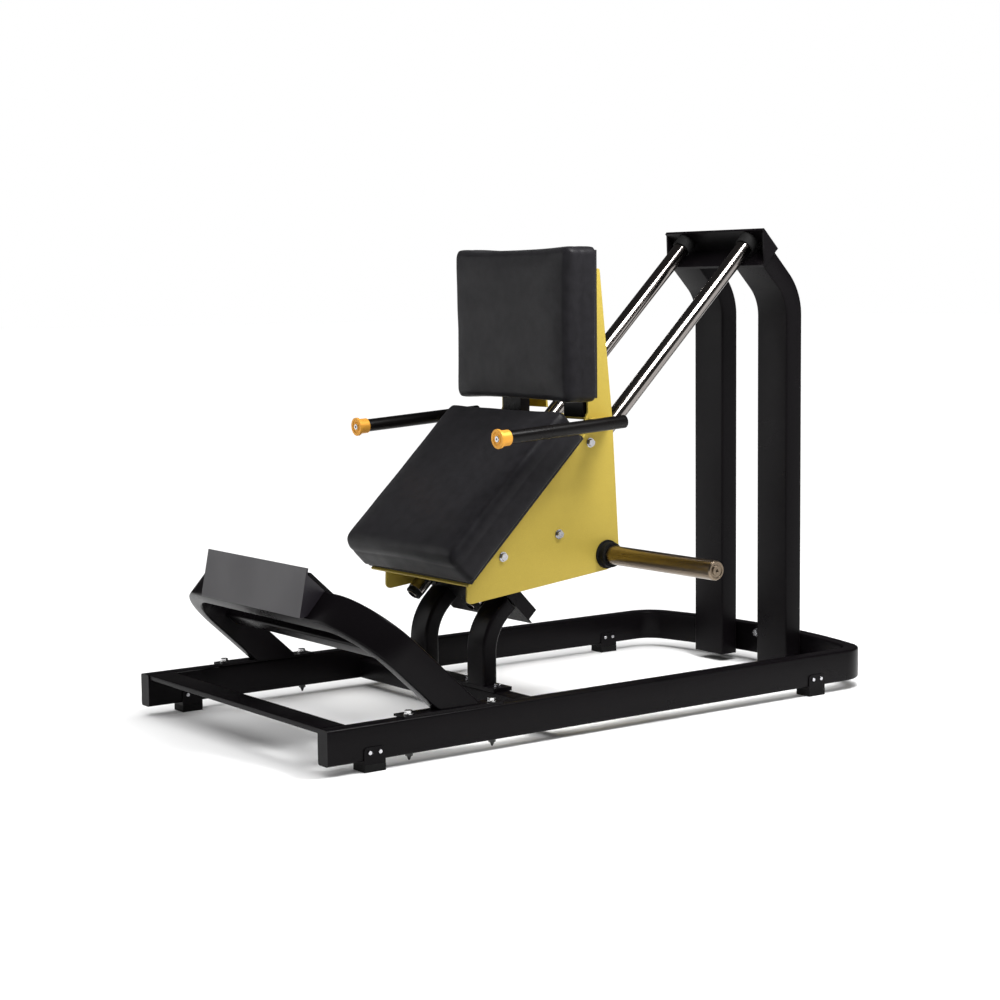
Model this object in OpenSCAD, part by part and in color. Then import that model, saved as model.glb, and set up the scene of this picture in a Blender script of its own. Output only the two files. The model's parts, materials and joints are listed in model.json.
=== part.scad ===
// Plate-loaded hip thrust machine.
// A padded carriage slides up two inclined chrome rods, away from a sloping foot deck.
// Origin: on the floor, under the middle of the whole machine. X is width, -Y is the foot deck
// end and +Z is up. Millimetres.

/* [Base frame] */
// Overall width of the base, over its two side rails
base_w = 925; // [900:5:940]
// Height of the base tube
rail_h = 84; // [78:1:86]
// Width of the base tube
rail_w = 42; // [40:1:43]
// Height of the underside of the rails above the floor
rail_z = 25.5; // [22:0.5:28]
// Distance from the front end to the rearmost point of the base
base_len = 1808; // [1800:2:1820]
// Wall thickness of the frame tubes
wall = 3; // [2:0.5:4]

/* [Guide rods] */
// Slope of the guide rods above the floor
rod_angle = 44; // [43.5:0.5:44.5]
// Diameter of a guide rod
rod_d = 45; // [40:1:45]
// Distance between the two guide rods
rod_gap = 264; // [256:2:268]

/* [Carriage] */
// Distance over the two side plates
carriage_w = 376; // [372:1:378]
// Thickness of a side plate
plate_t = 6; // [5:1:8]
// Width of the pan under the seat pad
pan_w = 446; // [440:1:450]
// Width of the seat and back pads
pad_w = 504; // [480:2:510]
// Length of the seat pad along the slope
seat_len = 514; // [500:2:514]
// Thickness of the seat pad
seat_t = 86; // [70:1:88]
// Height of the back pad
back_h = 408; // [380:2:420]
// Thickness of the back pad
back_t = 84; // [70:1:84]

/* [Horns and handles] */
// Diameter of a plate horn
horn_d = 50; // [48:1:50]
// Length of a plate horn outside its collar
horn_len = 400; // [300:5:430]
// Distance between the two handle bars
handle_gap = 642; // [630:2:650]
// Diameter of a handle bar
handle_d = 34; // [30:1:35]

/* [Foot deck] */
// Slope of the foot deck
deck_angle = 42.3; // [42:0.1:43]
// Width of the foot deck
deck_w = 484; // [460:2:490]
// Length of the foot deck down its slope
deck_len = 336; // [320:4:340]

/* [Hidden] */
$fn = 48;

frame_black = [0.10, 0.10, 0.11];
bolt_steel = [0.80, 0.81, 0.83];
gold = [0.84, 0.74, 0.38];
vinyl = [0.05, 0.05, 0.06];
rubber = [0.03, 0.03, 0.03];
chrome = [0.78, 0.78, 0.80];

// Base outline, seen from above
half_w = base_w / 2;
front_y = -base_len / 2;
rear_y = base_len / 2;
rear_r = 1400;
corner_r = 100;
rail_top = rail_z + rail_h;
corner_x = half_w - corner_r;
rear_cy = rear_y - rear_r;
corner_y = rear_cy + sqrt(pow(rear_r - corner_r, 2) - pow(corner_x, 2));
rear_turn = asin(corner_x / (rear_r - corner_r));
foot_y = [-779, 633];
foot_len = 58;
foot_w = 50;
foot_plate_t = 3;
foot_plate_h = 32;

// Uprights
upright_x = 73;
upright_w = 120;
upright_t = 58;
upright_y = 781;
upright_bend_z = 1015;
upright_bend_r = 112;
upright_end = 86;
upright_foot_z = 21.5;
upright_bolt_z = [47.5, 87.5];

// Rod line: distances along the rods and square to them, from where their axis meets the floor
rod_y0 = -574;
rod_r = rod_d / 2;
rod_x = rod_gap / 2;
rod_low = 437;
rod_high = 1768;
bracket_t = 8;
web_d = 499;
web_deep = 36;
web_x = 175;
web_n = [-140, 34];
bumper_low = 552;
bumper_high = 1736;
bumper_r = 27;
fit = 0.05;

// Front legs
leg_x = 92;
leg_w = 77;
leg_t = 44;
leg_y = -257.5;
leg_foot_z = 89;
leg_bend_z = 170;
leg_bend_r = 116;
leg_end = 35;
member_w = 52;
member_top = 79;
leg_bolt_x = [-192, -68, 68, 192];

// Foot bow: a flat U in the plane of the deck
bow_y0 = -585;
bow_half = 450;
bow_r = 160;
bow_len = 324;
bow_foot_z = rail_top + 6;
bow_bolt_y = [-670, -431];
deck_front = -386;
deck_t = 6;
tread_t = 5;

// Carriage
plate_out = carriage_w / 2;
plate_x = plate_out - plate_t;
seat_n = 99;
pan_t = 6;
pan_d = 418;
board_t = 12;
seat_d = 412;
tube_n = 28;
tube_h = 38;
bolt_n = tube_n + tube_h / 2;
front_bolt_d = 556;
rear_bolt_d = 953;
tie_d = 716;
tie_n = -47;
tie_r = 20;
housing_d = [580, 850];
housing_len = 84;
housing_half = 34;
bearing_r = 27;
bearing_d = [[bumper_low + 0.3, 664], [850, 1031]];
back_y = -31;
back_z = 800;
back_board_t = 12;
post_x = 94;
post_w = 82;
post_y = back_y + back_t + 0.5 + back_board_t;
shelf_z = 756;
shelf_t = 6;
horn_y = 133.6;
horn_z = 398.6;
horn_root = 24;
handle_z = 757;
handle_y = [-312, 84];
handle_tilt = 3.6;
handle_len = (handle_y[1] - handle_y[0]) / cos(handle_tilt);

function along(d, n) = [
  rod_y0 + d * cos(rod_angle) - n * sin(rod_angle),
  d * sin(rod_angle) + n * cos(rod_angle)
];

// Outline of a side plate in Y and Z, from the front of the seat down and round to the rear
side_outline = [
  along(446, seat_n - pan_t), [-320.5, 306.4], [139.6, 358.4], [173.4, 419.4], [153.6, 761],
  [113.6, 1147], [72, 1148], [72, 775], along(955, seat_n - pan_t)
];

// Corner of an outline, rounded to radius r between the points before and after it
function fillet(a, p, b, r, steps = 5) =
  let (u = (a - p) / norm(a - p), v = (b - p) / norm(b - p))
  let (half = acos(u * v) / 2, bis = (u + v) / norm(u + v))
  let (c = p + bis * r / sin(half), s = p + u * r / tan(half), e = p + v * r / tan(half))
  let (a0 = atan2(s[1] - c[1], s[0] - c[0]), a1 = atan2(e[1] - c[1], e[0] - c[0]))
  let (turn = (a1 - a0 + 540) % 360 - 180)
  [for (i = [0:steps]) c + r * [cos(a0 + turn * i / steps), sin(a0 + turn * i / steps)]];

function rounded(pts, radii) = [
  for (i = [0:len(pts) - 1])
    let (a = pts[(i + len(pts) - 1) % len(pts)], b = pts[(i + 1) % len(pts)])
    for (q = radii[i] > 0 ? fillet(a, pts[i], b, radii[i]) : [pts[i]]) q
];

module both_sides() {
  children();
  mirror([1, 0, 0]) children();
}

// Children are drawn with Y along the rods and Z square to them
module rod_frame() {
  translate([0, rod_y0, 0]) rotate([rod_angle, 0, 0]) children();
}

// Children are drawn with -Y up the foot deck and Z square to it
module bow_frame() {
  translate([0, bow_y0, rail_top + 1.5]) rotate([-deck_angle, 0, 0]) children();
}

// Side profile in Y and Z, stretched along X from x0
module profile_x(pts, x0, width) {
  translate([x0, 0, 0]) rotate([90, 0, 90]) linear_extrude(width) polygon(pts);
}

module rod_line(x, d0, d1, r) {
  translate([x, d0, 0]) rotate([-90, 0, 0]) cylinder(h = d1 - d0, r = r);
}

module rod_ring(x, d0, d1, r, bore) {
  difference() {
    rod_line(x, d0, d1, r);
    rod_line(x, d0 - 1, d1 + 1, bore);
  }
}

// Box tube along Y, open at both ends
module box_tube_y(x0, y0, z0, w, len, h) {
  difference() {
    translate([x0, y0, z0]) cube([w, len, h]);
    translate([x0 + wall, y0 - 1, z0 + wall]) cube([w - 2 * wall, len + 2, h - 2 * wall]);
  }
}

// Box tube along X, open at both ends
module box_tube_x(x0, y0, z0, len, w, h) {
  difference() {
    translate([x0, y0, z0]) cube([len, w, h]);
    translate([x0 - 1, y0 + wall, z0 + wall]) cube([len + 2, w - 2 * wall, h - 2 * wall]);
  }
}

// Bend of a box tube about Z, w is its radial width and r its outer radius
module box_bend(r, w, h, turn) {
  rotate_extrude(angle = turn) difference() {
    translate([r - w, 0]) square([w, h]);
    translate([r - w + wall, wall]) square([w - 2 * wall, h - 2 * wall]);
  }
}

// Hexagon bolt with a washer, its axis along +Z and its seat at Z = 0
module hex_bolt(r, shank) {
  cylinder(h = 2, r = 2.1 * r);
  translate([0, 0, 2]) cylinder(h = 1.25 * r, r = 1.65 * r, $fn = 6);
  if (shank > 0) translate([0, 0, -shank]) cylinder(h = shank + 1, r = r);
}

module base_rail_right() {
  color(frame_black) difference() {
    box_tube_y(half_w - rail_w, front_y, rail_z, rail_w, corner_y - front_y, rail_h);
    for (y = bow_bolt_y)
      translate([half_w - rail_w / 2, y, rail_z - 1]) cylinder(h = rail_h + 2, r = 6.2);
    for (y = foot_y, s = [-1, 1])
      translate([half_w - rail_w - 1, y + s * 14, rail_z + 20]) rotate([0, 90, 0])
        cylinder(h = rail_w + 2, r = 3.1);
  }
}

module base_rail_left() {
  mirror([1, 0, 0]) base_rail_right();
}

// Right half of the rear tube seen from above, as a line that runs inset mm inside its outer face
function half_bow(inset) = concat(
  [for (i = [0:8]) let (a = (90 - rear_turn) * i / 8)
    [corner_x, corner_y] + (corner_r - inset) * [cos(a), sin(a)]],
  [for (i = [1:10]) let (a = 90 - rear_turn + rear_turn * i / 10)
    [0, rear_cy] + (rear_r - inset) * [cos(a), sin(a)]]
);

// The whole of that line from the right end to the left, its ends lengthened by past
function bow_line(inset, past) =
  let (right = concat([[half_w - inset, corner_y - past]], half_bow(inset)))
  concat(right, [for (i = [len(right) - 2:-1:0]) [-right[i][0], right[i][1]]]);

// Plan of the rear tube between two insets
module bow_plan(outer, inner, past) {
  b = bow_line(inner, past);
  polygon(concat(bow_line(outer, past), [for (i = [len(b) - 1:-1:0]) b[i]]));
}

module base_rear_bow() {
  color(frame_black) difference() {
    translate([0, 0, rail_z]) linear_extrude(rail_h) bow_plan(0, rail_w, 0.01);
    translate([0, 0, rail_z + wall]) linear_extrude(rail_h - 2 * wall) bow_plan(wall, rail_w - wall, 1);
    for (side = [-1, 1], z = upright_bolt_z)
      upright_bolt_axis(side, z) cylinder(h = 100, r = 6.2, center = true);
  }
}

module rail_plugs() {
  color(rubber) both_sides()
    translate([half_w - rail_w + wall, front_y + 0.5, rail_z + wall])
      cube([rail_w - 2 * wall, 18, rail_h - 2 * wall]);
}

module front_crossbar() {
  color(frame_black)
    box_tube_x(-half_w + rail_w, front_y + 4, rail_top - 14, base_w - 2 * rail_w, 70, 14);
}

module mid_crossmember() {
  color(frame_black) difference() {
    box_tube_x(-half_w + rail_w, leg_y + 2, rail_z, base_w - 2 * rail_w, member_w, member_top - rail_z);
    for (x = leg_bolt_x) translate([x, leg_y + member_w / 2, rail_z]) cylinder(h = 80, r = 5.2);
  }
}

module foot_saddles() {
  color(frame_black) both_sides() for (y = foot_y) {
    difference() {
      for (x = [half_w - rail_w - foot_plate_t, half_w])
        profile_x(
          rounded(
            [[y - foot_len / 2, rail_z - 8], [y + foot_len / 2, rail_z - 8],
             [y + foot_len / 2, rail_z + foot_plate_h], [y - foot_len / 2, rail_z + foot_plate_h]],
            [0, 0, 9, 9]),
          x, foot_plate_t);
      for (s = [-1, 1])
        translate([half_w - rail_w - 10, y + s * 14, rail_z + 20]) rotate([0, 90, 0])
          cylinder(h = rail_w + 20, r = 3.1);
    }
    translate([half_w - rail_w, y - foot_len / 2, rail_z - 8]) cube([rail_w, foot_len, 8]);
  }
}

module foot_pads() {
  color(rubber) both_sides() for (y = foot_y)
    translate([half_w - rail_w / 2 - foot_w / 2, y - foot_len / 2, 0])
      cube([foot_w, foot_len, rail_z - 8]);
}

module foot_screws() {
  color(bolt_steel) both_sides() for (y = foot_y, s = [-1, 1])
    translate([half_w - rail_w / 2, y + s * 14, rail_z + 20]) rotate([0, 90, 0]) {
      cylinder(h = rail_w + 2 * foot_plate_t, r = 3, center = true);
      for (k = [-1, 1]) translate([0, 0, k * (rail_w / 2 + foot_plate_t + 1.5)])
        cylinder(h = 3, r = 5, center = true);
    }
}

// Just in front of the inner face of the curved rear tube
function bow_inner_y(x) = rear_cy + sqrt(pow(rear_r - rail_w, 2) - pow(x, 2)) - 0.3;

// Children are drawn along Y through the rear of an upright and the rear bow
module upright_bolt_axis(side, z) {
  translate([side * (upright_x + upright_w / 2), upright_y + upright_t + 40, z])
    rotate([90, 0, 0]) children();
}

// Side outline of a flat tube that stands at radius r1 to r2 and then bends about the origin
function bent_outline(r1, r2, foot, turn, end) =
  let (out = [cos(turn), sin(turn)], on = end * [-sin(turn), cos(turn)], steps = 14)
  concat(
    [[r1, foot], [r2, foot]],
    [for (i = [0:steps]) r2 * [cos(turn * i / steps), sin(turn * i / steps)]],
    [r2 * out + on, r1 * out + on],
    [for (i = [steps:-1:0]) r1 * [cos(turn * i / steps), sin(turn * i / steps)]]
  );

// Hollow flat tube of width w, closed at the foot and open at the end
module bent_tube(w, r1, r2, foot, turn, end) {
  difference() {
    profile_x(bent_outline(r1, r2, foot, turn, end), 0, w);
    profile_x(bent_outline(r1 + wall, r2 - wall, foot + wall, turn, end + 1), wall, w - 2 * wall);
  }
}

// Flat tube, curved forward at the top until it stands square to the rods. A welded wedge closes
// the gap to the curved rear tube.
module upright_right() {
  wedge_y = upright_y + upright_t - 1;
  x_out = upright_x + upright_w;
  color(frame_black) difference() {
    union() {
      translate([upright_x, upright_y - upright_bend_r, upright_bend_z])
        bent_tube(upright_w, upright_bend_r, upright_bend_r + upright_t,
                  upright_foot_z - upright_bend_z, rod_angle, upright_end);
      translate([0, 0, rail_z]) linear_extrude(rail_h)
        polygon([[upright_x, wedge_y], [x_out, wedge_y], [x_out, bow_inner_y(x_out)],
                 [upright_x, bow_inner_y(upright_x)]]);
    }
    for (z = upright_bolt_z) upright_bolt_axis(1, z) cylinder(h = 110, r = 6.2, center = true);
  }
}

module upright_left() {
  mirror([1, 0, 0]) upright_right();
}

// Bolts from the rear tube into nuts inside the uprights, with low round heads, and one bolt
// head near the middle of the rear tube
module upright_bolts() {
  bolt_x = upright_x + upright_w / 2;
  nut_y = upright_y + upright_t - wall - 8.1;
  bow_y = rear_cy + sqrt(pow(rear_r, 2) - pow(bolt_x, 2)) - 0.6;
  color(bolt_steel) {
    both_sides() for (z = upright_bolt_z) {
      translate([bolt_x, nut_y, z]) rotate([-90, 0, 0]) cylinder(h = 8, r = 10, $fn = 6);
      translate([bolt_x, nut_y - 10, z]) rotate([-90, 0, 0]) cylinder(h = bow_y - nut_y + 11, r = 6);
      translate([bolt_x, bow_y, z]) rotate([-90, 0, 0]) cylinder(h = 5, r = 11);
    }
    translate([-11, rear_y - rail_w - 0.1, 87]) rotate([90, 0, 0]) hex_bolt(6, 0);
  }
}

// Angle bar that caps the uprights and stops the rods
module top_bracket() {
  color(frame_black) rod_frame() difference() {
    union() {
      translate([-204, rod_high, -46]) cube([408, bracket_t, 77]);
      translate([-204, 1702, -46]) cube([408, rod_high - 1702, bracket_t]);
      for (x = [-204, 198]) translate([x, 0, 0]) rotate([90, 0, 90]) linear_extrude(6)
        polygon([[1712, -38], [rod_high, -38], [rod_high, 24]]);
    }
    for (x = [-rod_x, rod_x]) rod_line(x, rod_high - 1, rod_high + bracket_t + 1, 8.2);
  }
}

module guide_rod(x) {
  color(chrome) rod_frame() rod_line(x, rod_low, rod_high, rod_r);
}

module guide_rod_right() {
  guide_rod(rod_x);
}

module guide_rod_left() {
  guide_rod(-rod_x);
}

module rod_top_bolts() {
  color(bolt_steel) rod_frame() for (x = [-rod_x, rod_x])
    translate([x, rod_high + bracket_t, 0]) rotate([-90, 0, 0]) hex_bolt(8, bracket_t);
}

module rod_end_caps() {
  color(rubber) rod_frame() for (x = [-rod_x, rod_x]) rod_line(x, rod_low - 12, rod_low, rod_r - 1);
}

module rod_end_discs() {
  color(chrome) rod_frame() for (x = [-rod_x, rod_x]) rod_line(x, rod_low - 16, rod_low - 12, 14);
}

module rod_collars() {
  color(frame_black) rod_frame() for (x = [-rod_x, rod_x])
    rod_ring(x, web_d - 16, web_d, 34, rod_r + fit);
}

// Channel that ties the rods to the ends of the two front legs, with a thin lip below
module lower_bracket() {
  h = web_n[1] - web_n[0];
  color(frame_black) rod_frame() {
    difference() {
      translate([-web_x, web_d, web_n[0]]) cube([2 * web_x, web_deep, h]);
      translate([-web_x + 6, web_d + bracket_t, web_n[0] + 6]) cube([2 * web_x - 12, web_deep, h - 12]);
      for (x = [-rod_x, rod_x]) rod_line(x, web_d - 1, web_d + bracket_t + 1, rod_r + fit);
    }
    translate([-web_x, web_d, web_n[0] - 12]) cube([2 * web_x, 4, 12]);
  }
}

// Flat tube, curved rearward at the top until it runs along the rods
module leg_right() {
  color(frame_black) translate([leg_x, leg_y + leg_t + leg_bend_r, leg_bend_z]) mirror([0, 1, 0])
    bent_tube(leg_w, leg_bend_r, leg_bend_r + leg_t, leg_foot_z - leg_bend_z, 90 - rod_angle, leg_end);
}

module leg_left() {
  mirror([1, 0, 0]) leg_right();
}

module leg_plate() {
  color(frame_black) difference() {
    translate([-212, leg_y - 1, member_top]) cube([424, member_w + 6, leg_foot_z - member_top]);
    for (x = leg_bolt_x) translate([x, leg_y + member_w / 2, member_top - 1]) cylinder(h = 20, r = 5.2);
  }
}

module leg_bolts() {
  color(bolt_steel) for (x = leg_bolt_x)
    translate([x, leg_y + member_w / 2, leg_foot_z]) hex_bolt(5, leg_foot_z - member_top + wall);
}

module lower_bumpers() {
  color(rubber) rod_frame() for (x = [-rod_x, rod_x])
    rod_ring(x, web_d + bracket_t, bumper_low, bumper_r, rod_r + fit);
}

module upper_bumpers() {
  color(rubber) rod_frame() for (x = [-rod_x, rod_x])
    rod_ring(x, bumper_high, rod_high, bumper_r, rod_r + fit);
}

// One bent tube: two legs that run up from the rails and a straight front
module foot_bow() {
  straight = bow_half - bow_r;
  color(frame_black) difference() {
    bow_frame() {
      both_sides() {
        box_tube_y(bow_half - rail_w, bow_r - bow_len, 0, rail_w, bow_len - bow_r + 130, rail_h);
        translate([straight, bow_r - bow_len, 0]) rotate([0, 0, -90]) box_bend(bow_r, rail_w, rail_h, 90);
      }
      box_tube_x(-straight, -bow_len, 0, 2 * straight, rail_w, rail_h);
    }
    translate([-600, -900, -200]) cube([1200, 900, 200 + bow_foot_z]);
  }
}

module bow_flanges() {
  color(frame_black) both_sides() difference() {
    translate([half_w - rail_w - 8, bow_bolt_y[0] - 22, rail_top]) cube([rail_w + 4, 283, 6]);
    for (y = bow_bolt_y) translate([half_w - rail_w / 2, y, rail_top - 1]) cylinder(h = 8, r = 6.2);
  }
}

// Long bolts right through the rails, with pointed cap nuts below
module bow_bolts() {
  color(bolt_steel) both_sides() for (y = bow_bolt_y) translate([half_w - rail_w / 2, y, 0]) {
    translate([0, 0, bow_foot_z]) hex_bolt(6, bow_foot_z - rail_z);
    translate([0, 0, rail_z - 8]) cylinder(h = 8, r = 9, $fn = 6);
    translate([0, 0, rail_z - 18]) cylinder(h = 10, r1 = 2, r2 = 6);
  }
}

module deck_cross_tube() {
  color(frame_black) bow_frame()
    box_tube_x(-bow_half + rail_w, -164, rail_h - 47, 2 * (bow_half - rail_w), rail_w, 47);
}

module foot_deck() {
  color(frame_black) bow_frame()
    translate([-deck_w / 2, deck_front, rail_h]) cube([deck_w, deck_len, deck_t]);
}

module deck_tread() {
  color(rubber) bow_frame()
    translate([-deck_w / 2 + 6, deck_front + 6, rail_h + deck_t])
      cube([deck_w - 12, deck_len - 12, tread_t]);
}

// Folded cover: a front panel and two triangular cheeks, down to the lower edge of the bow
module deck_cover() {
  top = [-816, 450];
  low = [-839, 333];
  back = [-724, 355];
  inward = [4, -1];
  color([0.42, 0.40, 0.43]) {
    profile_x([top, low, low + inward, top + inward], -deck_w / 2, deck_w);
    difference() {
      for (x = [-deck_w / 2, deck_w / 2 - 3]) profile_x([top + inward, low + inward, back], x, 3);
      bow_frame() {
        translate([-300, -bow_len, -1]) cube([600, 400, rail_h + 1]);
        translate([-300, deck_front - 100, rail_h]) cube([600, deck_len + 200, 60]);
      }
    }
  }
}

// Plate with a flange folded inwards along the lower part of its rear edge above the seat
module side_plate_right() {
  color(gold) difference() {
    union() {
      profile_x(rounded(side_outline, [0, 14, 12, 12, 40, 5, 3, 10, 0]), plate_x, plate_t);
      profile_x([[152, 775], [144.3, 850], [138.3, 850], [146, 775]], 85, plate_x - 84);
    }
    rod_frame() for (b = [[front_bolt_d, bolt_n], [rear_bolt_d, bolt_n], [tie_d, tie_n]])
      translate([plate_x - 1, b[0], b[1]]) rotate([0, 90, 0]) cylinder(h = plate_t + 2, r = 6.2);
    translate([plate_x - 1, horn_y, horn_z]) rotate([0, 90, 0]) cylinder(h = plate_t + 2, r = 20.2);
  }
}

module side_plate_left() {
  mirror([1, 0, 0]) side_plate_right();
}

module seat_pan() {
  color(gold) rod_frame()
    translate([-pan_w / 2, pan_d, seat_n - pan_t]) cube([pan_w, 520, pan_t]);
}

module seat_board() {
  color(frame_black) rod_frame()
    translate([-pad_w / 2 + 16, seat_d + 12, seat_n + 0.3]) cube([pad_w - 32, seat_len - 16, board_t]);
}

// Plain closed block for a cushion, its four long edges rounded
module cushion(y0, z0, len, h, r) {
  box = [[y0, z0], [y0 + len, z0], [y0 + len, z0 + h], [y0, z0 + h]];
  profile_x(rounded(box, [r, r, r, r]), -pad_w / 2, pad_w);
}

module seat_pad() {
  color(vinyl) rod_frame() cushion(seat_d, seat_n + board_t + 0.6, seat_len, seat_t, 18);
}

module back_board() {
  color(frame_black)
    translate([-pad_w / 2 + 16, back_y + back_t + 0.5, back_z + 14])
      cube([pad_w - 32, back_board_t, back_h - 28]);
}

module back_pad() {
  color(vinyl) cushion(back_y, back_z, back_t, back_h, 18);
}

// Two flat posts that carry the back board
module back_posts() {
  color(frame_black) both_sides() translate([post_x, post_y, shelf_z + shelf_t]) cube([post_w, 30, 380]);
}

// Shelf between the side plates that carries the two posts
module back_shelf() {
  color(gold) translate([-plate_x, post_y, shelf_z]) cube([2 * plate_x, 80, shelf_t]);
}

// Two bars under the seat pan, carried by the cross tubes
module seat_rails() {
  n0 = tube_n + tube_h;
  color(frame_black) rod_frame() both_sides()
    translate([60, front_bolt_d - tube_h / 2, n0])
      cube([40, rear_bolt_d - front_bolt_d + tube_h, seat_n - pan_t - n0]);
}

module cross_tube(d) {
  color(frame_black) rod_frame()
    box_tube_x(-plate_x, d - tube_h / 2, tube_n, 2 * plate_x, tube_h, tube_h);
}

module cross_tube_front() {
  cross_tube(front_bolt_d);
}

module cross_tube_rear() {
  cross_tube(rear_bolt_d);
}

// Round tube between the side plates, below the rods
module lower_tie() {
  color(frame_black) rod_frame() translate([-plate_x, tie_d, tie_n]) rotate([0, 90, 0]) difference() {
    cylinder(h = 2 * plate_x, r = tie_r);
    translate([0, 0, -1]) cylinder(h = 2 * plate_x + 2, r = tie_r - wall);
  }
}

// Blocks on the inner faces of the side plates, bored for the linear bearings
module bearing_housings() {
  color([0.55, 0.56, 0.58]) rod_frame() both_sides() for (d = housing_d) difference() {
    translate([rod_x - housing_half, d, -housing_half])
      cube([plate_x - rod_x + housing_half, housing_len, 2 * housing_half]);
    rod_line(rod_x, d - 1, d + housing_len + 1, bearing_r);
  }
}

// Sleeves that run on the rods and meet the bumpers at both ends of the travel
module linear_bearings() {
  color(bolt_steel) rod_frame() for (x = [-rod_x, rod_x], d = bearing_d)
    rod_ring(x, d[0], d[1], bearing_r, rod_r + fit);
}

module side_bolts() {
  color(bolt_steel) both_sides() rod_frame()
    for (b = [[front_bolt_d, bolt_n], [rear_bolt_d, bolt_n], [tie_d, tie_n]])
      translate([plate_out, b[0], b[1]]) rotate([0, 90, 0]) hex_bolt(6, plate_t);
}

module along_horn(x0) {
  translate([x0, horn_y, horn_z]) rotate([0, 90, 0]) children();
}

module horn_right() {
  color(chrome) {
    along_horn(plate_out + horn_root) cylinder(h = horn_len, r = horn_d / 2);
    along_horn(plate_x) cylinder(h = plate_t + horn_root + 1, r = 20);
  }
}

module horn_left() {
  mirror([1, 0, 0]) horn_right();
}

module horn_collars() {
  color(rubber) both_sides() difference() {
    union() {
      along_horn(plate_out) cylinder(h = 5, r = 38);
      along_horn(plate_out + 5) cylinder(h = horn_root - 5, r = 33);
    }
    along_horn(plate_out - 1) cylinder(h = horn_root + 2, r = 20.2);
  }
}

module horn_caps() {
  x0 = plate_out + horn_root + horn_len;
  color(chrome) both_sides() difference() {
    union() {
      along_horn(x0) cylinder(h = 4, r1 = horn_d / 2, r2 = horn_d / 2 - 2);
      along_horn(x0 + 1) cylinder(h = 5, r = 13);
    }
    difference() {
      along_horn(x0 + 2) cylinder(h = 6, r = 18);
      along_horn(x0 + 1) cylinder(h = 8, r = 13);
    }
    along_horn(x0 + 1) cylinder(h = 6, r = 4);
  }
}

module horn_cross_tube() {
  color(frame_black) difference() {
    along_horn(-plate_x) cylinder(h = 2 * plate_x, r = 25);
    along_horn(-plate_x - 1) cylinder(h = 2 * plate_x + 2, r = 21);
  }
}

// Children are drawn along a handle, from its rear end towards the front
module along_handle(back_off) {
  translate([handle_gap / 2, handle_y[1], handle_z]) rotate([90 + handle_tilt, 0, 0])
    translate([0, 0, back_off]) children();
}

module handle_bar_right() {
  color(frame_black) difference() {
    along_handle(0) cylinder(h = handle_len - 6, r = handle_d / 2);
    along_handle(-1) cylinder(h = 30, r = 6.2);
  }
}

module handle_bar_left() {
  mirror([1, 0, 0]) handle_bar_right();
}

// Flat plates from the side plates out to the rear ends of the handles
module handle_brackets() {
  color(gold) both_sides() difference() {
    translate([0, 0, handle_z - 5]) linear_extrude(8)
      polygon([[plate_out, 72], [handle_gap / 2, 26], [handle_gap / 2, 82], [plate_out, 150]]);
    along_handle(-2) cylinder(h = 120, r = handle_d / 2 + 0.1);
  }
}

// Sleeve over the front end of each handle, with a flange and a recessed ring in its face
module handle_caps() {
  color(gold) both_sides() difference() {
    union() {
      along_handle(handle_len - 27) cylinder(h = 28, r = 20);
      along_handle(handle_len) cylinder(h = 7, r = 24.5);
    }
    along_handle(handle_len - 28) cylinder(h = 22.1, r = handle_d / 2 + 0.1);
    along_handle(handle_len + 4) cylinder(h = 8, r = 8);
    difference() {
      along_handle(handle_len + 5) cylinder(h = 8, r = 17);
      along_handle(handle_len + 4) cylinder(h = 8, r = 12);
    }
  }
}

module handle_screws() {
  color(bolt_steel) both_sides() difference() {
    along_handle(handle_len + 4) cylinder(h = 4, r = 7.5);
    along_handle(handle_len + 6) cylinder(h = 4, r = 3.4, $fn = 6);
  }
}

module handle_bolts() {
  color(gold) both_sides() {
    along_handle(-4) cylinder(h = 4, r = 9);
    along_handle(0) cylinder(h = 28, r = 6);
  }
}

base_rail_left();
base_rail_right();
base_rear_bow();
front_crossbar();
mid_crossmember();
rail_plugs();
foot_saddles();
foot_pads();
foot_screws();
upright_left();
upright_right();
upright_bolts();
top_bracket();
guide_rod_left();
guide_rod_right();
rod_top_bolts();
rod_end_caps();
rod_end_discs();
rod_collars();
lower_bracket();
leg_left();
leg_right();
leg_plate();
leg_bolts();
lower_bumpers();
upper_bumpers();
foot_bow();
bow_flanges();
bow_bolts();
deck_cross_tube();
foot_deck();
deck_tread();
deck_cover();
side_plate_left();
side_plate_right();
seat_pan();
seat_board();
seat_pad();
back_board();
back_pad();
back_posts();
back_shelf();
seat_rails();
cross_tube_front();
cross_tube_rear();
lower_tie();
bearing_housings();
linear_bearings();
side_bolts();
horn_left();
horn_right();
horn_collars();
horn_caps();
horn_cross_tube();
handle_bar_left();
handle_bar_right();
handle_brackets();
handle_caps();
handle_screws();
handle_bolts();
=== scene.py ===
import json
import math

import bmesh
import bpy
import numpy as np
from mathutils import Matrix, Vector


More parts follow.
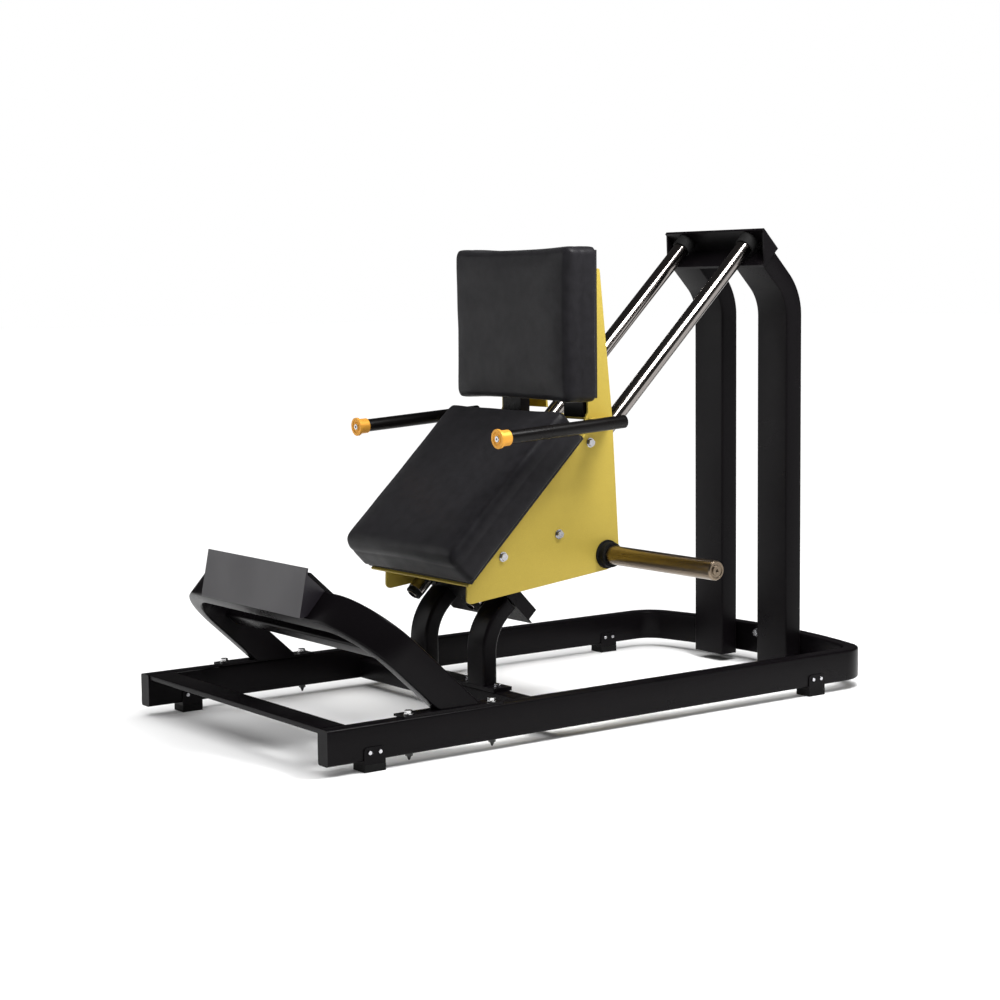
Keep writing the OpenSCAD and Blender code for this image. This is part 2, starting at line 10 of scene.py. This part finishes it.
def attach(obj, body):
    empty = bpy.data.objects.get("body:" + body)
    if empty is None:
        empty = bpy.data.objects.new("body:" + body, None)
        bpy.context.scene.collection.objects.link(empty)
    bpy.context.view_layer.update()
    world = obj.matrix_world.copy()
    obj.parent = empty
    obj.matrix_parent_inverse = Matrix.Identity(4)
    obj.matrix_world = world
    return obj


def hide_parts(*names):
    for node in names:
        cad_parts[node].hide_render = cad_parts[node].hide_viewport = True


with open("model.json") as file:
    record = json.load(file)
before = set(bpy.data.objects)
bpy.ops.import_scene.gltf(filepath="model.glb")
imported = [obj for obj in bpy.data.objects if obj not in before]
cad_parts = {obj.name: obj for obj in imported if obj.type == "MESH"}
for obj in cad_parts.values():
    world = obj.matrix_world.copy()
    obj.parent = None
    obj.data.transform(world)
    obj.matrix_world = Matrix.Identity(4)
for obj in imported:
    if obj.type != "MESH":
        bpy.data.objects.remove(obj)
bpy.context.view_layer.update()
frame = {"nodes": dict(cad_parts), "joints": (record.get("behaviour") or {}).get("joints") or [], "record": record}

NODES = frame["nodes"]
FRAME, CARRIAGE = "frame", "carriage"
SIDES = ("right", "left")

# Directions of the guide rods: along them, and square to them
ALONG = Vector(frame["joints"][0]["axis"])
NORMAL = Vector((0, -ALONG.z, ALONG.y))
ACROSS = Vector((1, 0, 0))
UP = Vector((0, 0, 1))
REAR = Vector((0, 1, 0))


# ---------------------------------------------------------------- camera, light and floor

def make_camera():
    azimuth, elevation, roll = (math.radians(a) for a in (53.77, 5.76, -0.58))
    back = Vector((math.sin(azimuth) * math.cos(elevation), -math.cos(azimuth) * math.cos(elevation),
                   math.sin(elevation)))
    right = Vector((math.cos(azimuth), math.sin(azimuth), 0))
    up = back.cross(right)
    rolled_right = right * math.cos(roll) + up * math.sin(roll)
    rolled_up = up * math.cos(roll) - right * math.sin(roll)
    data = bpy.data.cameras.new("camera")
    data.lens = 74.35
    data.sensor_width = 36
    camera = bpy.data.objects.new("camera", data)
    camera.matrix_world = Matrix((rolled_right, rolled_up, back)).transposed().to_4x4()
    camera.location = (4.3808, -3.2863, 1.0897)
    bpy.context.scene.collection.objects.link(camera)
    bpy.context.scene.camera = camera


def area_light(name, place, target, size, power, colour=(1, 1, 1)):
    data = bpy.data.lights.new(name, "AREA")
    data.shape = "RECTANGLE"
    data.size, data.size_y = size
    data.energy = power
    data.color = colour
    light = bpy.data.objects.new(name, data)
    light.location = place
    light.rotation_mode = "QUATERNION"
    light.rotation_quaternion = (Vector(target) - Vector(place)).to_track_quat("-Z", "Y")
    bpy.context.scene.collection.objects.link(light)


def make_studio():
    """A white room to the camera. Reflections see a dark room over a white floor, so that black paint stays
    black and the chrome shows a dark and a bright band."""
    bpy.context.scene.view_settings.view_transform = "Standard"
    world = bpy.data.worlds.new("studio")
    bpy.context.scene.world = world
    world.use_nodes = True
    nodes, links = world.node_tree.nodes, world.node_tree.links
    nodes.clear()
    out = nodes.new("ShaderNodeOutputWorld")
    seen = nodes.new("ShaderNodeBackground")
    seen.inputs["Color"].default_value = (1, 1, 1, 1)
    seen.inputs["Strength"].default_value = 1.0
    room = nodes.new("ShaderNodeBackground")
    room.inputs["Color"].default_value = (1.0, 0.97, 0.98, 1)
    room.inputs["Strength"].default_value = 0.045
    path = nodes.new("ShaderNodeLightPath")
    mix = nodes.new("ShaderNodeMixShader")
    links.new(path.outputs["Is Camera Ray"], mix.inputs["Fac"])
    links.new(room.outputs["Background"], mix.inputs[1])
    links.new(seen.outputs["Background"], mix.inputs[2])
    links.new(mix.outputs["Shader"], out.inputs["Surface"])
    overhead = bpy.data.lights.new("overhead", "SUN")
    overhead.energy = 3.7
    overhead.angle = math.radians(100)
    sun = bpy.data.objects.new("overhead", overhead)
    sun.visible_glossy = False
    bpy.context.scene.collection.objects.link(sun)
    area_light("front_left", (-3.4, -3.6, 1.6), (0, -0.4, 0.6), (2.6, 2.6), 42)
    area_light("rear_right", (4.2, 4.0, 1.7), (0.1, 0.8, 0.7), (1.6, 2.4), 9)
    area_light("plate_fill", (1.15, 0.3, 2.15), (0.2, 0.1, 0.9), (0.7, 0.7), 46)
    reach = 60.0
    floor_mesh = bpy.data.meshes.new("floor")
    floor_mesh.from_pydata([(-reach, -reach, 0), (reach, -reach, 0), (reach, reach, 0), (-reach, reach, 0)],
                           [], [(0, 1, 2, 3)])
    floor = bpy.data.objects.new("floor", floor_mesh)
    bpy.context.scene.collection.objects.link(floor)
    floor_mesh.materials.append(plain_material("floor_white", (0.92, 0.92, 0.92), 0.9))


# ---------------------------------------------------------------- materials

class Shader:
    """A Principled material with helpers for its procedural detail, in the object's own metres."""

    def __init__(self, name, colour, roughness, metallic=0.0, specular=0.5):
        self.material = bpy.data.materials.new(name)
        self.material.use_nodes = True
        self.nodes = self.material.node_tree.nodes
        self.links = self.material.node_tree.links
        self.bsdf = self.nodes["Principled BSDF"]
        self.colour = colour
        self.bsdf.inputs["Base Color"].default_value = (*colour, 1)
        self.bsdf.inputs["Roughness"].default_value = roughness
        self.bsdf.inputs["Metallic"].default_value = metallic
        self.bsdf.inputs["Specular IOR Level"].default_value = specular
        self.place = self.nodes.new("ShaderNodeTexCoord").outputs["Object"]
        self.normal = None

    def stretched(self, scale):
        mapping = self.nodes.new("ShaderNodeMapping")
        mapping.inputs["Scale"].default_value = scale
        self.links.new(self.place, mapping.inputs["Vector"])
        return mapping.outputs["Vector"]

    def noise(self, scale, detail=3.0, vector=None):
        texture = self.nodes.new("ShaderNodeTexNoise")
        texture.inputs["Scale"].default_value = scale
        texture.inputs["Detail"].default_value = detail
        self.links.new(vector or self.place, texture.inputs["Vector"])
        return texture.outputs["Fac"]

    def voronoi(self, scale, feature="F1"):
        texture = self.nodes.new("ShaderNodeTexVoronoi")
        texture.feature = feature
        texture.inputs["Scale"].default_value = scale
        self.links.new(self.place, texture.inputs["Vector"])
        return texture.outputs["Distance"]

    def spread(self, value, low, high, from_low=0.3, from_high=0.7):
        span = self.nodes.new("ShaderNodeMapRange")
        span.inputs["From Min"].default_value = from_low
        span.inputs["From Max"].default_value = from_high
        span.inputs["To Min"].default_value = low
        span.inputs["To Max"].default_value = high
        self.links.new(value, span.inputs["Value"])
        return span.outputs["Result"]

    def tint(self, value, dark, light):
        """Colour between two shades as value goes over its middle range."""
        ramp = self.nodes.new("ShaderNodeValToRGB")
        ramp.color_ramp.elements[0].position = 0.3
        ramp.color_ramp.elements[0].color = (*dark, 1)
        ramp.color_ramp.elements[1].position = 0.7
        ramp.color_ramp.elements[1].color = (*light, 1)
        self.links.new(value, ramp.inputs["Fac"])
        self.links.new(ramp.outputs["Color"], self.bsdf.inputs["Base Color"])

    def roughen(self, value, low, high):
        self.links.new(self.spread(value, low, high), self.bsdf.inputs["Roughness"])

    def bump(self, value, height, strength=1.0):
        bump = self.nodes.new("ShaderNodeBump")
        bump.inputs["Strength"].default_value = strength
        bump.inputs["Distance"].default_value = height
        self.links.new(value, bump.inputs["Height"])
        if self.normal is not None:
            self.links.new(self.normal, bump.inputs["Normal"])
        self.normal = bump.outputs["Normal"]
        self.links.new(self.normal, self.bsdf.inputs["Normal"])


def plain_material(name, colour, roughness):
    return Shader(name, colour, roughness).material


def shade(colour, factor):
    return tuple(min(1.0, c * factor) for c in colour)


def powder_coat(name, colour, roughness, specular=0.4, grain=0.00012, speckle=0.1):
    """Sprayed powder: a fine orange-peel skin, slightly uneven in colour and gloss."""
    s = Shader(name, colour, roughness, specular=specular)
    fine = s.noise(700, 2)
    broad = s.noise(5, 4)
    s.tint(fine, shade(colour, 1 - speckle), shade(colour, 1 + speckle))
    s.roughen(broad, roughness - 0.05, roughness + 0.07)
    s.bump(fine, grain)
    return s.material


def gold_powder(name, colour):
    """Metallic powder coat with a sparkling fine grain."""
    s = Shader(name, colour, 0.5, metallic=0.3, specular=0.2)
    grain = s.noise(1100, 2)
    s.tint(grain, shade(colour, 0.82), shade(colour, 1.18))
    s.roughen(s.noise(9, 3), 0.44, 0.56)
    s.bump(grain, 0.00014)
    return s.material


def polished(name, colour, roughness, scratch):
    """Polished metal with hair-fine marks that run along the part."""
    s = Shader(name, colour, roughness, metallic=1.0)
    hair = s.noise(60, 4, s.stretched(scratch))
    s.roughen(hair, roughness, roughness + 0.1)
    s.bump(hair, 0.0000003)
    return s.material


def through_bolt(name, level):
    """Plated bolt steel above a level, black on the cap nut below it."""
    s = Shader(name, (0.6, 0.6, 0.6), 0.22, metallic=1.0)
    split = s.nodes.new("ShaderNodeSeparateXYZ")
    s.links.new(s.place, split.inputs["Vector"])
    plated = s.spread(split.outputs["Z"], 0.0, 1.0, level - 0.001, level + 0.001)
    s.tint(plated, (0.005, 0.005, 0.005), (0.6, 0.6, 0.6))
    s.links.new(plated, s.bsdf.inputs["Metallic"])
    s.bump(s.noise(300, 2), 0.00001)
    return s.material


def moulded_rubber(name, colour):
    s = Shader(name, colour, 0.7, specular=0.12)
    grain = s.noise(450, 3)
    s.tint(s.noise(30, 3), shade(colour, 0.8), shade(colour, 1.3))
    s.roughen(grain, 0.6, 0.8)
    s.bump(grain, 0.0002)
    return s.material


def vinyl(name, colour):
    """Upholstery vinyl: small pebbled grain, and a soft unevenness where the foam gives."""
    s = Shader(name, colour, 0.42, specular=0.12)
    pebble = s.voronoi(520)
    s.tint(s.noise(40, 4), shade(colour, 0.8), shade(colour, 1.25))
    s.roughen(s.noise(14, 4), 0.36, 0.48)
    s.bump(pebble, 0.00018, 0.8)
    s.bump(s.noise(9, 2), 0.0016, 0.5)
    s.bsdf.inputs["Sheen Weight"].default_value = 0.06
    s.bsdf.inputs["Sheen Roughness"].default_value = 0.4
    return s.material


def plywood(name, colour):
    s = Shader(name, colour, 0.65, specular=0.3)
    grain = s.noise(18, 5, s.stretched((1, 12, 12)))
    s.tint(grain, shade(colour, 0.7), shade(colour, 1.5))
    s.roughen(grain, 0.55, 0.75)
    s.bump(grain, 0.0003)
    return s.material


NUT_BLACK_LEVEL = 0.1       # a height inside the rails, between a long bolt's head and its cap nut

make_camera()
make_studio()
M = {
    "frame_black": powder_coat("frame_black", (0.0034, 0.0028, 0.0034), 0.30, 0.075),
    "cover_grey": powder_coat("cover_grey", (0.012, 0.0100, 0.0135), 0.36, 0.44),
    "gold_paint": gold_powder("gold_paint", (0.455, 0.345, 0.062)),
    "cap_gold": gold_powder("cap_gold", (0.70, 0.33, 0.045)),
    "rod_chrome": polished("rod_chrome", (0.30, 0.275, 0.26), 0.07, (1, 0.1, 0.1)),
    # the horns are chrome; their bronze tint is a painted reflection of the gold plates, put into the base colour
    "horn_chrome": polished("horn_chrome", (0.21, 0.165, 0.12), 0.26, (0.1, 1, 1)),
    "bolt_steel": polished("bolt_steel", (0.52, 0.52, 0.54), 0.2, (1, 1, 1)),
    "housing_aluminium": polished("housing_aluminium", (0.42, 0.43, 0.44), 0.35, (1, 0.2, 1)),
    "black_rubber": moulded_rubber("black_rubber", (0.006, 0.006, 0.006)),
    "board_black": plywood("board_black", (0.007, 0.0065, 0.0065)),
    "black_vinyl": vinyl("black_vinyl", (0.0085, 0.0080, 0.0095)),
    "through_bolt": through_bolt("through_bolt", NUT_BLACK_LEVEL),
    "grip_black": powder_coat("grip_black", (0.0035, 0.003, 0.003), 0.3, 0.15),
}
SLOT_OF = {part["node"]: part["material_slot"] for part in frame["record"]["subparts"]}
LOOK = {"horn_left": "horn_chrome", "horn_right": "horn_chrome", "horn_caps": "horn_chrome",
        "handle_bar_left": "grip_black", "handle_bar_right": "grip_black",
        "handle_caps": "cap_gold", "bow_bolts": "through_bolt"}


# ---------------------------------------------------------------- mesh helpers

def add_piece(name, bm, material, body, replaces=(), sharp=35):
    """Puts a bmesh in the scene as a piece of the object that rides on a body."""
    bmesh.ops.recalc_face_normals(bm, faces=bm.faces)
    mesh = bpy.data.meshes.new(name)
    bm.to_mesh(mesh)
    bm.free()
    mesh.polygons.foreach_set("use_smooth", [True] * len(mesh.polygons))
    mesh.set_sharp_from_angle(angle=math.radians(sharp))
    mesh.materials.append(M[material])
    piece = bpy.data.objects.new(name, mesh)
    bpy.context.scene.collection.objects.link(piece)
    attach(piece, body)
    if replaces:
        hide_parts(*replaces)


def rounded_rect(w, h, r, steps=4):
    """Outline of a w by h rectangle about (0, 0), its corners rounded to r."""
    points = []
    for i, (sx, sy) in enumerate(((1, 1), (-1, 1), (-1, -1), (1, -1))):
        for k in range(steps + 1):
            a = math.radians(90 * (i + k / steps))
            points.append((sx * (w / 2 - r) + r * math.cos(a), sy * (h / 2 - r) + r * math.sin(a)))
    return points


def walk(start, heading, moves, step=4):
    """Plane path of (point, heading) pairs. A move is a length, or (radius, degrees) for an arc to the left
    when degrees are positive."""
    x, y = start
    path = [((x, y), heading)]
    for move in moves:
        if not isinstance(move, tuple):
            x += move * math.cos(heading)
            y += move * math.sin(heading)
            path.append(((x, y), heading))
            continue
        radius, degrees = move
        side = math.copysign(1, degrees)
        cx = x - side * radius * math.sin(heading)
        cy = y + side * radius * math.cos(heading)
        count = max(2, math.ceil(abs(degrees) / step))
        first = heading
        for k in range(1, count + 1):
            heading = first + math.radians(degrees) * k / count
            x = cx + side * radius * math.sin(heading)
            y = cy - side * radius * math.cos(heading)
            path.append(((x, y), heading))
    return path


def sweep(path, origin, e1, e2, w, h, r):
    """Rounded box tube along a plane path: w is its width square to the plane, h its depth in the plane."""
    e3 = e1.cross(e2)
    bm = bmesh.new()
    outline = rounded_rect(w, h, r)
    rings = []
    for (x, y), heading in path:
        side = -math.sin(heading) * e1 + math.cos(heading) * e2
        centre = origin + x * e1 + y * e2
        rings.append([bm.verts.new(centre + a * e3 + b * side) for a, b in outline])
    for one, two in zip(rings, rings[1:]):
        for i in range(len(outline)):
            j = (i + 1) % len(outline)
            bm.faces.new((one[i], one[j], two[j], two[i]))
    bm.faces.new(rings[0][::-1])
    bm.faces.new(rings[-1])
    return bm


def box_in(node, *axes):
    """Lowest and highest value of a CAD node along each axis."""
    points = [v.co for v in NODES[node].data.vertices]
    return [(min(p.dot(a) for p in points), max(p.dot(a) for p in points)) for a in axes]


def dress(node):
    """Gives a carried-over CAD node its material, and a fine bevel that catches the light."""
    piece = NODES[node]
    look = LOOK.get(node, SLOT_OF[node])
    for material_slot in piece.material_slots:
        material_slot.material = M[look]
    piece.data.polygons.foreach_set("use_smooth", [True] * len(piece.data.polygons))
    if "custom_normal" in piece.data.attributes:
        piece.data.attributes.remove(piece.data.attributes["custom_normal"])
    weld = piece.modifiers.new("weld", "WELD")
    weld.merge_threshold = 0.00001
    flat = piece.modifiers.new("flat", "DECIMATE")
    flat.decimate_type = "DISSOLVE"
    flat.angle_limit = math.radians(0.5)
    bevel = piece.modifiers.new("bevel", "BEVEL")
    bevel.width = 0.0009
    bevel.segments = 2
    bevel.limit_method = "ANGLE"
    bevel.angle_limit = math.radians(40)
    bevel.use_clamp_overlap = True
    smooth = piece.modifiers.new("normals", "WEIGHTED_NORMAL")
    smooth.keep_sharp = True


# ---------------------------------------------------------------- frame tubes

TUBE_R = 0.006          # rounding of the box tubes' corners
BASE_CORNER_R = 0.100
BASE_REAR_R = 1.400


def base_ring():
    """One bent tube: right rail, rear corner, shallow rear arc, rear corner, left rail."""
    (x0, x1), (y0, y1), (z0, z1) = box_in("base_rail_right", ACROSS, REAR, UP)
    w = x1 - x0
    turn = math.degrees(math.asin((x1 - BASE_CORNER_R) / (BASE_REAR_R - BASE_CORNER_R)))
    corner = (BASE_CORNER_R - w / 2, 90 - turn)
    path = walk(((x0 + x1) / 2, y0), math.radians(90),
                [y1 - y0, corner, (BASE_REAR_R - w / 2, 2 * turn), corner, y1 - y0], 3)
    bm = sweep(path, Vector((0, 0, (z0 + z1) / 2)), ACROSS, REAR, z1 - z0, w, TUBE_R)
    add_piece("base_ring", bm, "frame_black", FRAME,
              ("base_rail_right", "base_rail_left", "base_rear_bow"))


def straight_tube(node, body, along, across, up, r=TUBE_R):
    """A straight tube in place of a CAD box tube."""
    (a0, a1), (b0, b1), (c0, c1) = box_in(node, along, across, up)
    path = walk((a0, (b0 + b1) / 2), 0, [a1 - a0])
    bm = sweep(path, (c0 + c1) / 2 * up, along, across, c1 - c0, b1 - b0, r)
    add_piece(node + "_tube", bm, SLOT_OF[node], body, (node,))


def uprights():
    """Flat tubes that curve forward at the top until they stand square to the rods."""
    depth, front, foot = 0.058, 0.781, 0.0215
    bend_z, bend_r, end = 1.015, 0.112, 0.086
    slope = math.degrees(math.atan2(ALONG.z, ALONG.y))
    for side in SIDES:
        node = "upright_" + side
        x0, x1 = box_in(node, ACROSS)[0]
        path = walk((front + depth / 2, foot), math.radians(90),
                    [bend_z - foot, (bend_r + depth / 2, slope), end])
        bm = sweep(path, (x0 + x1) / 2 * ACROSS, REAR, UP, x1 - x0, depth, 0.005)
        add_piece(node + "_tube", bm, "frame_black", FRAME, (node,))


def legs():
    """Flat tubes that curve rearward at the top until they run along the rods."""
    depth, front, foot = 0.044, -0.2575, 0.089
    bend_z, bend_r, end = 0.170, 0.116, 0.035
    turn = 90 - math.degrees(math.atan2(ALONG.z, ALONG.y))
    for side in SIDES:
        node = "leg_" + side
        x0, x1 = box_in(node, ACROSS)[0]
        path = walk((front + depth / 2, foot), math.radians(90),
                    [bend_z - foot, (bend_r + depth / 2, -turn), end])
        bm = sweep(path, (x0 + x1) / 2 * ACROSS, REAR, UP, x1 - x0, depth, 0.008)
        add_piece(node + "_tube", bm, "frame_black", FRAME, (node,))


DECK_SLOPE = math.radians(42.3)
DECK_UP = Vector((0, -math.cos(DECK_SLOPE), math.sin(DECK_SLOPE)))
DECK_NORMAL = Vector((0, math.sin(DECK_SLOPE), math.cos(DECK_SLOPE)))


def foot_bow():
    """The U-shaped bow in the plane of the deck, cut level where it stands on its flanges."""
    bend_r, below = 0.160, 0.140
    (x0, x1), (s0, s1), (n0, n1) = box_in("foot_bow", ACROSS, DECK_UP, DECK_NORMAL)
    lowest = box_in("foot_bow", UP)[0][0]
    (w0, w1) = box_in("base_rail_right", ACROSS)[0]
    w = w1 - w0
    run = s1 - s0 - bend_r + below
    path = walk((x1 - w / 2, s0 - below), math.radians(90),
                [run, (bend_r - w / 2, 90), 2 * (x1 - bend_r), (bend_r - w / 2, 90), run], 5)
    bm = sweep(path, (n0 + n1) / 2 * DECK_NORMAL, ACROSS, DECK_UP, n1 - n0, w, TUBE_R)
    cut = bmesh.ops.bisect_plane(bm, geom=bm.verts[:] + bm.edges[:] + bm.faces[:], plane_co=UP * lowest,
                                 plane_no=UP, clear_inner=True)
    edges = [e for e in cut["geom_cut"] if isinstance(e, bmesh.types.BMEdge)]
    bmesh.ops.holes_fill(bm, edges=edges)
    add_piece("foot_bow_tube", bm, "frame_black", FRAME, ("foot_bow",))


base_ring()
uprights()
legs()
foot_bow()
straight_tube("front_crossbar", FRAME, ACROSS, REAR, UP, 0.004)
straight_tube("mid_crossmember", FRAME, ACROSS, REAR, UP)
straight_tube("deck_cross_tube", FRAME, ACROSS, DECK_UP, DECK_NORMAL)
for tube in ("cross_tube_front", "cross_tube_rear"):
    straight_tube(tube, CARRIAGE, ACROSS, ALONG, NORMAL, 0.004)


# ---------------------------------------------------------------- cushions

def smoothstep(x, low, high):
    t = min(1.0, max(0.0, (x - low) / (high - low)))
    return t * t * (3 - 2 * t)


SIM_FRAMES = 20
SMOOTHINGS = 60         # passes that even out the swelling, so that the cover is taut
SMOOTH_SHARE = 0.6      # how far a point goes towards the mean of its neighbours in one pass


def cloth_swell(piece, most):
    """Inflates a closed mesh as cloth. No point moves further than most. The movement is then smoothed, which
    takes the wrinkles out, and kept."""
    mesh = piece.data
    rest = [v.co.copy() for v in mesh.vertices]
    cloth = piece.modifiers.new("cloth", "CLOTH")
    settings = cloth.settings
    settings.quality = 5
    settings.mass = 0.3
    settings.tension_stiffness = settings.compression_stiffness = 20
    settings.bending_stiffness = 8
    settings.use_pressure = True
    settings.uniform_pressure_force = 4
    settings.effector_weights.gravity = 0
    cloth.point_cache.frame_start = 1
    cloth.point_cache.frame_end = SIM_FRAMES
    scene = bpy.context.scene
    for number in range(1, SIM_FRAMES + 1):
        scene.frame_set(number)
    evaluated = piece.evaluated_get(bpy.context.evaluated_depsgraph_get())
    swollen = [v.co.copy() for v in evaluated.data.vertices]
    piece.modifiers.remove(cloth)
    scene.frame_set(1)
    ends = np.array([edge.vertices[:] for edge in mesh.edges])
    moves = np.array([after - before for before, after in zip(rest, swollen)])
    moves *= np.minimum(1, most / np.maximum(np.linalg.norm(moves, axis=1), 1e-9))[:, None]
    count = np.bincount(ends.ravel(), minlength=len(moves))[:, None]
    for _ in range(SMOOTHINGS):
        total = np.zeros_like(moves)
        np.add.at(total, ends[:, 0], moves[ends[:, 1]])
        np.add.at(total, ends[:, 1], moves[ends[:, 0]])
        moves = (1 - SMOOTH_SHARE) * moves + SMOOTH_SHARE * total / count
    for vertex, before, move in zip(mesh.vertices, rest, moves):
        vertex.co = before + Vector(move)
    mesh.update()


PAD_INSET = 0.003
PAD_CORNER = 0.022      # rounding of a pad's four upright edges
PAD_EDGE = 0.012        # rounding of the edge of its front panel before it swells
PAD_CELL = 0.006        # spacing of the mesh that is simulated


def cushion(name, node, body, axes, crown, tuck, rolls, flare=0.0):
    """Foam pad in the space of a CAD block. axes are its width, its height and its thickness from the board
    outwards. crown is how far the front panel swells, tuck how far the sides pull in, and rolls how far
    the low, the high and the two side edges of the front panel are rounded over."""
    (x0, x1), (y0, y1), (z0, z1) = box_in(node, *axes)
    w, h, t = x1 - x0, y1 - y0, z1 - z0
    centre = (x0 + x1) / 2 * axes[0] + (y0 + y1) / 2 * axes[1] + z0 * axes[2]
    place = Matrix((axes[0], axes[1], axes[2])).transposed().to_4x4()
    place.translation = centre
    bm = bmesh.new()
    bmesh.ops.create_cube(bm, size=1)
    for v in bm.verts:
        v.co = Vector((v.co.x * (w - 2 * PAD_INSET), v.co.y * (h - 2 * PAD_INSET), (v.co.z + 0.5) * t))
    upright = [e for e in bm.edges if abs(e.verts[0].co.z - e.verts[1].co.z) > t / 2]
    bmesh.ops.bevel(bm, geom=upright, offset=PAD_CORNER, segments=5, profile=0.5, affect="EDGES")
    front = [e for e in bm.edges if all(v.co.z > t / 2 for v in e.verts) and len(e.link_faces) == 2
             and abs(e.link_faces[0].normal.dot(e.link_faces[1].normal)) < 0.3]
    bmesh.ops.bevel(bm, geom=front, offset=PAD_EDGE, segments=3, profile=0.5, affect="EDGES")
    mesh = bpy.data.meshes.new(name)
    bm.to_mesh(mesh)
    bm.free()
    piece = bpy.data.objects.new(name, mesh)
    bpy.context.scene.collection.objects.link(piece)
    bpy.context.view_layer.objects.active = piece
    remesh = piece.modifiers.new("remesh", "REMESH")
    remesh.mode = "VOXEL"
    remesh.voxel_size = PAD_CELL
    bpy.ops.object.select_all(action="DESELECT")
    piece.select_set(True)
    bpy.ops.object.modifier_apply(modifier="remesh")
    cloth_swell(piece, crown)
    shape_cushion(piece.data, w, h, t, tuck, rolls, flare)
    piece.data.polygons.foreach_set("use_smooth", [True] * len(piece.data.polygons))
    division = piece.modifiers.new("subdivision", "SUBSURF")
    division.levels = division.render_levels = 1
    piece.data.transform(place)
    piece.data.materials.append(M["black_vinyl"])
    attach(piece, body)
    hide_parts(node)


SEAM_DEPTH = 0.0015     # how far the seam between front panel and side band is drawn in
SEAM_WIDTH = 0.003
SEAM_DOWN = 0.036       # distance of that seam behind the front of the pad
GROW = 0.008            # added to each side and to the thickness, and half of it to each end


def roll_over(gap, radius):
    """How far a surface drops at a distance gap from its edge, when the edge is rounded to radius."""
    if gap >= radius:
        return 0.0
    return radius - math.sqrt(max(0.0, radius ** 2 - (radius - max(0.0, gap)) ** 2))


def shape_cushion(mesh, w, h, t, tuck, rolls, flare):
    """Keeps the back flat, rounds the edges over, draws in the seam, pulls the sides in between the corners,
    and makes good what the swelling drew in by growing the pad."""
    low, high, sides = rolls
    seam = t - SEAM_DOWN
    for v in mesh.vertices:
        x, y, z = v.co
        z = max(z, 0.0)
        drop = max(roll_over(h / 2 + y, low), roll_over(h / 2 - y, high)) + roll_over(w / 2 - abs(x), sides)
        z -= drop * smoothstep(z, seam, t)
        u, s = abs(x) / (w / 2), abs(y) / (h / 2)
        edge = smoothstep(max(u, s), 0.86, 0.97)
        groove = SEAM_DEPTH * math.exp(-((z - seam) / SEAM_WIDTH) ** 2) * edge
        waist_x = tuck * (1 - s * s) + groove
        waist_y = tuck * (1 - u * u) + groove
        x -= math.copysign(waist_x * smoothstep(u, 0.7, 1.0), x)
        y -= math.copysign(waist_y * smoothstep(s, 0.7, 1.0), y)
        x *= (1 + 2 * GROW / w) * (1 + flare * y / h)
        y *= 1 + GROW / h
        z *= 1 + GROW / t
        v.co = (x, y, z)
    mesh.update()


cushion("back_cushion", "back_pad", CARRIAGE, (ACROSS, UP, -REAR), 0.010, 0.002,
        (0.018, 0.010, 0.030), 0.012)
cushion("seat_cushion", "seat_pad", CARRIAGE, (ACROSS, ALONG, NORMAL), 0.010, 0.0, (0.040, 0.006, 0.026))

# ---------------------------------------------------------------- carried-over nodes

for node, piece in NODES.items():
    if not piece.hide_render:
        dress(node)
